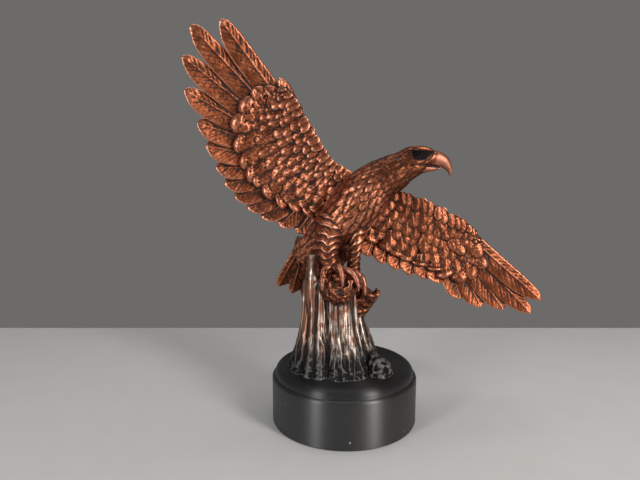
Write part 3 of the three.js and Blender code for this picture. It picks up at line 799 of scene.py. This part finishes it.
def spread(values, edges, rounds):
    """Averages values over neighbours, as often as told."""
    count = len(values)
    values = values.reshape(count, -1)
    degree = np.bincount(edges.ravel(), minlength=count)[:, None]
    for _ in range(rounds):
        total = np.stack(
            [
                np.bincount(edges[:, 0], column[edges[:, 1]], count)
                + np.bincount(edges[:, 1], column[edges[:, 0]], count)
                for column in values.T
            ],
            -1,
        )
        values = 0.5 * values + 0.5 * total / degree
    return values


def zones_of(points, clay):
    """For each point, what it is made of: a share for each kind."""
    sources, _, kinds = clay
    tree = kdtree.KDTree(len(sources))
    for i, p in enumerate(sources):
        tree.insert(p, i)
    tree.balance()
    nearest = np.array([tree.find(p)[1] for p in points])
    return np.eye(len(KINDS))[kinds[nearest]]


def groove_depth(points, line, radius):
    """How deep each point lies in a groove along a line in x and z."""
    line = np.array(line, float)
    best = np.full(len(points), 1e9)
    for a, b in zip(line[:-1], line[1:]):
        way = b - a
        share = np.clip(((points[:, [0, 2]] - a) @ way) / (way @ way), 0, 1)
        off = points[:, [0, 2]] - a - share[:, None] * way
        best = np.minimum(best, np.linalg.norm(off, axis=1))
    return np.exp(-((best / radius) ** 2))


# Lines cut into the head, in x and z from the perch: where the beak parts, and its cere's edge
GAPE = [(46, 84.6), (50, 85.0), (58, 84.6), (66, 83.8), (70.5, 82.2)]
CERE = [(64.6, 95), (62.6, 91.5), (60, 88.6), (56.5, 87.0)]

# Pits, as a centre, a radius and a depth: in and beside the knot, in the branch and in the lump
PITS = [
    ((-5, -28, 126), 3.4, 5), ((-9, -29, 116), 2.2, 2.2), ((-2, -29, 117), 1.9, 1.8),
    ((-4.6, -29, 109.5), 2.2, 1.6), ((-18.5, -19, 110), 3.0, 3.5), ((20, -30, 55), 2.6, 3.0),
    ((30, -27, 49), 2.2, 1.8), ((18, -16, 110), 4.5, 2.5),
]


def carve(points, normals, zones):
    """Bark, knots and fine tooling, cut into the skin along its normals."""
    wood, knot, burr = zones[:, WOOD], zones[:, KNOT], zones[:, BURR]
    ridges = 1 - np.abs(noise(points, (4.4, 4.4, 44), 1))
    fine = 1 - np.abs(noise(points, (1.9, 1.9, 20), 2))
    bark = 0.8 * (ridges**3 - 0.45) + 0.3 * (fine**2 - 0.4)
    gnarl = 2.2 * (0.4 - np.abs(noise(points, 5.2, 3)))
    gnarl = gnarl + 1.1 * (0.4 - np.abs(noise(points, 2.5, 4)))
    low = np.clip((points[:, 2] - DISC_HEIGHT) / 14, 0, 1)
    move = wood * (bark * (0.35 + 0.65 * low) + 0.4 * (1 - low) * gnarl)
    move = move + knot * (gnarl + 0.4 * bark)
    move = move + burr * (1.6 * noise(points, 6.5, 6) + 0.9 * noise(points, 2.8, 7))
    for centre, radius, depth in PITS:
        away = np.linalg.norm(points - np.array(centre), axis=1)
        move = move - (knot + wood + burr) * depth * np.exp(-((away / radius) ** 2))
    plain = 1 - wood - knot - burr
    move = move + plain * 0.1 * noise(points, 1.5, 5)
    local = points - PERCH
    off_middle = smooth((np.abs(local[:, 1] - HEAD_MIDDLE) - 1.2) / 1.5)
    head = (local[:, 0] > 44) * (local[:, 2] > 74) * off_middle
    move = move - head * 1.1 * groove_depth(local, GAPE, 0.75)
    move = move - head * 0.5 * groove_depth(local, CERE, 0.6)
    return points + normals * move[:, None]


UNIT_BOX = np.array(list(np.ndindex(2, 2, 2)), float) - 0.5
SEAM_SPACE = np.array([78.0, 38.0, 44.0])
BEYOND_SEAM = np.array([400.0, 400.0, 200.0])
UNDER_STUMP = np.array([200.0, 200.0, 40.0])


def box_cutter(wing, side, size):
    """The box on one side of a wing's seam: 1 is out along the wing, -1 is in the body."""
    chord, _, reach = size
    points = UNIT_BOX * size + np.array([-0.1 * chord, 0, (reach - SEAM_GAP) / 2])
    out = unit(np.array(wing["seam"], float)) * side
    chordwise = unit(np.cross(out, FRONT))
    chordwise = -chordwise if chordwise[2] < 0 else chordwise
    deep = np.cross(out, chordwise)
    points = points @ np.array([chordwise, deep, out]) + np.array(wing["shoulder"]) + PERCH
    return box_object(points)


def box_object(points):
    """A closed box through eight points in the order of UNIT_BOX, turned to face out."""
    quads = [(0, 1, 3, 2), (4, 6, 7, 5), (0, 4, 5, 1), (2, 3, 7, 6), (0, 2, 6, 4), (1, 5, 7, 3)]
    faces = np.array([f for a, b, c, d in quads for f in ((a, b, c), (a, c, d))])
    corners = points[faces] - points.mean(0)
    if np.einsum("ij,ij->i", corners[:, 0], np.cross(corners[:, 1], corners[:, 2])).sum() < 0:
        faces = faces[:, ::-1]
    return mesh_object("cutter", points, faces)


def melt(name, clay, cutters, node):
    """Melts shells into one skin, carves it, cuts it, and measures its hollows for the patina and
    the painted shade.
    """
    merged = clay.merged()
    obj = mesh_object(name, *merged[:2])
    remesh = obj.modifiers.new("melt", "REMESH")
    remesh.mode = "VOXEL"
    remesh.voxel_size = VOXEL
    bake_modifiers(obj)
    points = vectors_of(obj.data, "co")
    zones = spread(zones_of(points, merged), edges_of(obj.data), 2)
    points = carve(points, vectors_of(obj.data, "normal"), zones)
    obj.data.vertices.foreach_set("co", points.astype(np.float32).ravel())
    obj.data.update()
    for cutter in cutters:
        cut = obj.modifiers.new("cut", "BOOLEAN")
        cut.operation = "DIFFERENCE"
        cut.solver = "MANIFOLD"
        cut.object = cutter
    bake_modifiers(obj)
    for cutter in cutters:
        bpy.data.objects.remove(cutter)
    obj.data.calc_loop_triangles()
    triangles = len(obj.data.loop_triangles)
    thin = obj.modifiers.new("thin", "DECIMATE")
    thin.ratio = min(1.0, MOST_TRIANGLES / triangles)
    bake_modifiers(obj)
    colour_zones(obj.data, merged)
    to_metres(obj, 60)
    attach(obj, "root")
    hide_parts(node)
    return obj


# How high a point stands over what is round it, at three widths: rounds of averaging and mm
HEIGHTS = (("fine", 3, 0.1), ("middle", 14, 0.45), ("broad", 90, 1.6))


def colour_zones(mesh, merged):
    """Writes down, point by point, what the patina and the painted shade go by."""
    points, normals = vectors_of(mesh, "co"), vectors_of(mesh, "normal")
    edges = edges_of(mesh)
    values = {}
    for label, rounds, size in HEIGHTS:
        away = ((points - spread(points, edges, rounds)) * normals).sum(-1)
        values[label] = np.tanh(away / size) * 0.5 + 0.5
    zones = spread(zones_of(points, merged), edges, 2)
    values["wood"] = zones[:, WOOD] + zones[:, BURR]
    values["quill"] = zones[:, QUILL]
    values["horn"] = zones[:, HORN]
    values["eyeball"] = zones[:, EYEBALL]
    local = points - PERCH
    values["lore"] = lore_patch(local)
    # Painted shade: the neck, the crown, the thighs and the knot are made darker by where they
    # stand.
    dark = np.maximum(neck_shade(local), perch_shade(local))
    # Painted shade: every side turned away from the camera and the lamps is made darker, by its
    # normal.
    behind = smooth((normals[:, 1] - 0.1) / 0.5) * (1 - zones[:, EYEBALL])
    values["painted_shade"] = np.maximum(dark * (zones[:, PLUMAGE] + zones[:, KNOT]), behind)
    for label, value in values.items():
        attribute = mesh.attributes.new(label, "FLOAT", "POINT")
        attribute.data.foreach_set("value", value.astype(np.float32))


def lore_patch(local):
    """The dark skin round the eye and in front of it, up to the beak."""
    x, z = local[:, 0], local[:, 2]
    edges = [(x - 46.6) / 1.6, (66.5 - x) / 1.6, (96.0 - z) / 1.2, (z - 87.6) / 1.2]
    edges.append((z - 87.6 - (x - 57.0) * 0.86) / 1.2)
    side = np.abs(local[:, 1] - HEAD_MIDDLE) > 3
    return smooth(np.minimum.reduce(edges)) * side


def neck_shade(local):
    """Painted shade that makes the neck and the crown darker than the breast."""
    x, _, z = local.T
    return smooth((x - 16 + 0.8 * (z - 66)) / 26) * smooth((66 - x) / 6)


def perch_shade(local):
    """Painted shade that makes the thighs and the knot darker than the breast above them."""
    x, _, z = local.T
    return 0.75 * smooth((28 - z) / 12) * smooth((x + 24) / 5) * smooth((27 - x) / 5)


# Materials


class Shader:
    """A material's node tree, built by short calls."""

    def __init__(self, name):
        self.material = bpy.data.materials.new(name)
        self.material.use_nodes = True
        self.tree = self.material.node_tree
        self.tree.nodes.clear()
        output = self.tree.nodes.new("ShaderNodeOutputMaterial")
        self.surface = self.tree.nodes.new("ShaderNodeBsdfPrincipled")
        self.link(self.surface.outputs[0], output.inputs["Surface"])

    def link(self, source, target):
        if isinstance(source, bpy.types.NodeSocket):
            self.tree.links.new(source, target)
        else:
            target.default_value = source

    def node(self, kind, *inputs, output=0, **settings):
        made = self.tree.nodes.new(kind)
        for key, value in settings.items():
            setattr(made, key, value)
        for i, value in enumerate(inputs):
            if value is not None:
                self.link(value, made.inputs[i])
        return made.outputs[output]

    def place(self):
        return self.node("ShaderNodeTexCoord", output=3)

    def attribute(self, name):
        return self.node("ShaderNodeAttribute", output=2, attribute_name=name)

    def math(self, operation, *values):
        return self.node("ShaderNodeMath", *values, operation=operation)

    def swayed(self, base, value, middle, strength):
        """base, moved by a share of how far value is from middle."""
        return self.math("MULTIPLY_ADD", self.math("SUBTRACT", value, middle), strength, base)

    def noise(self, size, detail=3.0, vector=None):
        vector = vector or self.place()
        return self.node("ShaderNodeTexNoise", vector, None, 1 / (size * MM), detail)

    def span(self, value, low, high, to_low=0.0, to_high=1.0):
        return self.node("ShaderNodeMapRange", value, low, high, to_low, to_high)

    def mix(self, share, a, b):
        made = self.tree.nodes.new("ShaderNodeMix")
        made.data_type = "RGBA"
        self.link(share, made.inputs[0])
        self.link(a if isinstance(a, bpy.types.NodeSocket) else (*a, 1), made.inputs[6])
        self.link(b if isinstance(b, bpy.types.NodeSocket) else (*b, 1), made.inputs[7])
        return made.outputs[2]

    def stretched(self, scale):
        return self.node("ShaderNodeMapping", self.place(), None, None, scale)

    def bump(self, height, distance, strength):
        made = self.tree.nodes.new("ShaderNodeBump")
        self.link(height, made.inputs["Height"])
        made.inputs["Strength"].default_value = strength
        made.inputs["Distance"].default_value = distance * MM
        return made.outputs[0]

    def set(self, **inputs):
        for key, value in inputs.items():
            self.link(value, self.surface.inputs[key.replace("_", " ")])


# Heights in metres over which the wood goes from black to pewter, and from pewter to copper
FOOT_BLACK = (0.056, 0.084)
TOP_COPPER = (0.092, 0.106)


def cast_metal():
    """A copper paint rubbed back on the high places over a near black ground, whose black in the
    hollows is partly painted shade; painted shade darkens the neck, the crown, the thighs, the knot
    and the sides turned from the lamps; a black eye and dark lores; and wood that goes from copper
    through pewter to black at the foot."""
    s = Shader("rubbed_copper")
    zones = ("fine", "middle", "broad", "quill", "horn", "lore", "eyeball", "painted_shade", "wood")
    fine, middle, broad, quill, horn, lore, eyeball, painted_shade, wooden = map(s.attribute, zones)
    cloud = s.noise(9.0, 4.0)
    speck = s.noise(1.3, 3.0)
    sharp = s.math("MULTIPLY", fine, s.span(quill, 0.0, 1.0, 0.9, 0.7))
    high = s.math("ADD", sharp, s.math("MULTIPLY", middle, 0.8))
    high = s.math("MULTIPLY_ADD", broad, 0.35, high)
    high = s.swayed(high, broad, 0.45, s.span(quill, 0.0, 1.0, 0.0, 0.6))
    high = s.swayed(high, speck, 0.5, 0.35)
    high = s.swayed(high, cloud, 0.5, 0.6)
    body = s.mix(s.span(cloud, 0.35, 0.65), (0.19, 0.047, 0.018), (0.33, 0.094, 0.039))
    # The near black in the hollows is the dark ground of the real finish and also painted shade,
    # deeper where a hollow lies lower than what is round it.
    dark = (0.012, 0.0055, 0.0035)
    copper = s.mix(s.span(high, 0.68, 1.08), dark, body)
    # Painted shade on the neck, the crown, the thighs, the knot and the sides turned from the lamps
    # takes back most of the rubbed copper and darkens the paint toward a dark brown.
    rubbed = s.math("MULTIPLY", s.span(high, 1.16, 1.68), s.span(painted_shade, 0.0, 1.0, 1.0, 0.3))
    copper = s.mix(rubbed, copper, (0.65, 0.27, 0.168))
    copper = s.mix(s.math("MULTIPLY", painted_shade, 0.55), copper, (0.05, 0.016, 0.008))
    height = s.node("ShaderNodeSeparateXYZ", s.place(), output=2)
    streak = s.noise(3.0, 4.0, s.stretched((1.0, 1.0, 0.1)))
    level = s.swayed(height, streak, 0.5, 0.03)
    brown = s.mix(s.span(streak, 0.35, 0.7), (0.13, 0.05, 0.027), (0.36, 0.165, 0.1))
    silver = s.mix(s.span(streak, 0.35, 0.7), (0.22, 0.15, 0.115), (0.54, 0.42, 0.36))
    across = s.node("ShaderNodeSeparateXYZ", s.place())
    bright = s.math("ADD", cloud, s.span(across, -0.034, -0.014, -0.2, 0.06))
    pewter = s.mix(s.span(bright, 0.48, 0.6), brown, silver)
    # Near black in the wood's hollows: its dark ground and also painted shade.
    pewter = s.mix(s.span(high, 0.62, 1.0), (0.012, 0.009, 0.007), pewter)
    worn = s.mix(s.span(bright, 0.38, 0.54), (0.4, 0.2, 0.13), (0.72, 0.6, 0.52))
    pewter = s.mix(s.span(high, 1.1, 1.5), pewter, worn)
    black = s.mix(s.span(high, 1.15, 1.6), (0.01, 0.0095, 0.0095), (0.11, 0.105, 0.1))
    wood = s.mix(s.span(level, *FOOT_BLACK), black, pewter)
    wood = s.mix(s.span(level, *TOP_COPPER), wood, copper)
    shard = s.math("MULTIPLY", s.span(across, -0.017, -0.02), wooden)
    colour = s.mix(wooden, copper, wood)
    colour = s.mix(s.math("MULTIPLY", shard, s.span(height, 0.085, 0.1)), colour, pewter)
    smooth_copper = s.mix(s.span(s.noise(4.0), 0.3, 0.7), (0.34, 0.12, 0.075), (0.5, 0.215, 0.145))
    colour = s.mix(s.math("MULTIPLY", horn, s.span(high, 0.7, 1.0)), colour, smooth_copper)
    colour = s.mix(lore, colour, s.mix(speck, (0.004, 0.003, 0.003), (0.016, 0.009, 0.008)))
    colour = s.mix(eyeball, colour, (0.003, 0.003, 0.004))
    grain = s.noise(0.7, 3.0)
    rough = s.swayed(s.span(high, 0.6, 1.4, 0.52, 0.36), grain, 0.5, 0.3)
    for zone, more in ((lore, 0.25), (horn, 0.1), (eyeball, -0.45)):
        rough = s.math("MULTIPLY_ADD", zone, more, rough)
    metal = s.span(high, 0.55, 1.0, 0.3, 0.95)
    sooty = s.math("MULTIPLY", wooden, s.span(level, 0.075, 0.055))
    metal = s.math("MULTIPLY", metal, s.math("SUBTRACT", 1.0, s.math("MULTIPLY", sooty, 0.8)))
    metal = s.math("MULTIPLY", metal, s.math("SUBTRACT", 1.0, s.math("MAXIMUM", eyeball, lore)))
    s.set(Base_Color=colour, Roughness=rough, Metallic=metal, Normal=s.bump(grain, 0.06, 0.5))
    s.set(Specular_IOR_Level=s.span(s.math("MAXIMUM", lore, sooty), 0.0, 1.0, 0.5, 0.06))
    return s.material


def satin_black():
    """The plinth's black lacquer: faint orange peel and three pale specks, duller on top."""
    s = Shader("satin_black")
    cloud = s.noise(14.0, 4.0)
    peel = s.noise(0.6, 2.0)
    colour = s.mix(s.span(cloud, 0.3, 0.7), (0.008, 0.008, 0.0083), (0.013, 0.0127, 0.013))
    for spot, radius in PLINTH_SPECKS:
        centre = tuple(c * MM for c in spot)
        far = s.node("ShaderNodeVectorMath", s.place(), centre, output=1, operation="DISTANCE")
        colour = s.mix(s.span(far, radius * MM, 0.4 * radius * MM), colour, (0.4, 0.38, 0.36))
    rough = s.span(s.math("MULTIPLY_ADD", peel, 0.4, cloud), 0.4, 1.0, 0.4, 0.48)
    s.set(Base_Color=colour, Roughness=rough, Metallic=0.0, Normal=s.bump(peel, 0.02, 0.3))
    round_about = s.node("ShaderNodeTangent", direction_type="RADIAL", axis="Z")
    height = s.node("ShaderNodeSeparateXYZ", s.place(), output=2)
    gloss = s.span(height, PLINTH_BODY_HEIGHT * MM - 0.002, DISC_HEIGHT * MM, 1.0, 0.35)
    s.set(Specular_IOR_Level=gloss)
    s.set(Anisotropic=0.9, Anisotropic_Rotation=0.25, Tangent=round_about)
    return s.material


def rounded(radius, height, size):
    """The outline of a rounded upper edge, from its side up to its top."""
    arc = np.linspace(0, np.pi / 2, 13)
    return [(radius - size * (1 - np.cos(a)), height - size * (1 - np.sin(a))) for a in arc]


def plinth():
    """The turned plinth as one fine lathe."""
    disc = PLINTH_RADIUS - PLINTH_SHOULDER
    profile = [(0.01, 0), (PLINTH_RADIUS - PLINTH_FOOT_BEVEL, 0)]
    profile += [
        (PLINTH_RADIUS - PLINTH_FOOT_BEVEL * (1 - np.sin(a)), PLINTH_FOOT_BEVEL * (1 - np.cos(a)))
        for a in np.linspace(0.2, np.pi / 2, 5)
    ]
    profile += rounded(PLINTH_RADIUS, PLINTH_BODY_HEIGHT, PLINTH_BODY_ROUND)
    profile += rounded(disc, DISC_HEIGHT, DISC_ROUND)
    profile += [(disc - DISC_ROUND - 1.5, DISC_HEIGHT), (0.01, DISC_HEIGHT)]
    radius, height = np.array(profile).T
    angle = np.arange(192) / 192 * TURN
    radius, height = radius[:, None], height[:, None] + 0 * angle
    rings = np.stack([radius * np.cos(angle), radius * np.sin(angle), height], -1)
    obj = mesh_object("turned_plinth", *tube(rings))
    to_metres(obj, 40)
    obj.data.materials.append(satin_black())
    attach(obj, "root")
    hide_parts("plinth")


def sculpture():
    metal = cast_metal()
    body = Clay()
    for part in (stump_clay, body_clay, head_clay, leg_clay, tail_clay):
        part(body)
    for wing in (RIGHT_WING, LEFT_WING):
        boss_clay(body, wing)
    below = UNIT_BOX * UNDER_STUMP + np.array([0, 0, DISC_HEIGHT - UNDER_STUMP[2] / 2])
    cutters = [box_cutter(wing, 1, SEAM_SPACE) for wing in (RIGHT_WING, LEFT_WING)]
    cutters.append(box_object(below))
    pieces = [melt("carved_eagle_on_stump", body, cutters, "eagle_on_stump")]
    for name, wing in (("right_wing", RIGHT_WING), ("left_wing", LEFT_WING)):
        cutters = [box_cutter(wing, -1, BEYOND_SEAM)]
        pieces.append(melt("carved_" + name, wing_clay(wing), cutters, name))
    for piece in pieces:
        piece.data.materials.clear()
        piece.data.materials.append(metal)
        slots = np.zeros(len(piece.data.polygons), np.int32)
        piece.data.polygons.foreach_set("material_index", slots)


# Studio

# The camera that fits the rings of the plinth: place in metres and degrees down
CAMERA_PLACE = (-0.0192, -0.426, 0.21)
CAMERA_PITCH = 8.9
CAMERA_LENS = 31.5
FLOOR_SIDE = 3
FLOOR_BACK = 0.227
AIMED_AT = (0.0, 0.0, 0.18)


def area_light(name, place, size, power, colour=(1, 1, 1)):
    light = bpy.data.lights.new(name, "AREA")
    light.shape = "RECTANGLE"
    light.size, light.size_y = size
    light.energy = power
    light.color = colour
    obj = new_object(name, light)
    obj.location = place
    obj.rotation_euler = (Vector(AIMED_AT) - Vector(place)).to_track_quat("-Z", "Y").to_euler()


def studio():
    camera = bpy.data.cameras.new("camera")
    camera.lens = CAMERA_LENS
    camera.sensor_width = 36
    camera.clip_start = 0.01
    obj = new_object("camera", camera)
    obj.location = CAMERA_PLACE
    obj.rotation_euler = Euler((np.radians(90 - CAMERA_PITCH), 0, 0))
    bpy.context.scene.camera = obj

    ends = ((-1, -FLOOR_SIDE), (1, -FLOOR_SIDE), (1, FLOOR_BACK), (-1, FLOOR_BACK))
    corners = np.array([(side * FLOOR_SIDE, y, 0) for side, y in ends], float)
    floor = mesh_object("floor", corners, np.array([(0, 1, 2), (0, 2, 3)]))
    pale = Shader("pale_floor")
    pale.set(
        Base_Color=pale.mix(pale.noise(30.0), (0.60, 0.59, 0.58), (0.64, 0.63, 0.62)),
        Roughness=0.7,
    )
    floor.data.materials.append(pale.material)

    world = bpy.data.worlds.new("studio")
    world.use_nodes = True
    background = world.node_tree.nodes["Background"]
    background.inputs["Color"].default_value = (1.0, 0.98, 0.96, 1)
    background.inputs["Strength"].default_value = 0.15
    bpy.context.scene.world = world
    area_light("key", (0.66, -0.72, 0.46), (0.22, 0.9), 9, (1.0, 0.97, 0.93))
    area_light("fill", (-0.68, -0.72, 0.32), (0.18, 0.64), 4.5, (0.95, 0.97, 1.0))
    area_light("top", (0.0, 0.1, 1.0), (0.7, 0.5), 2.5)
    bpy.context.scene.view_settings.view_transform = "Standard"


studio()
plinth()
sculpture()
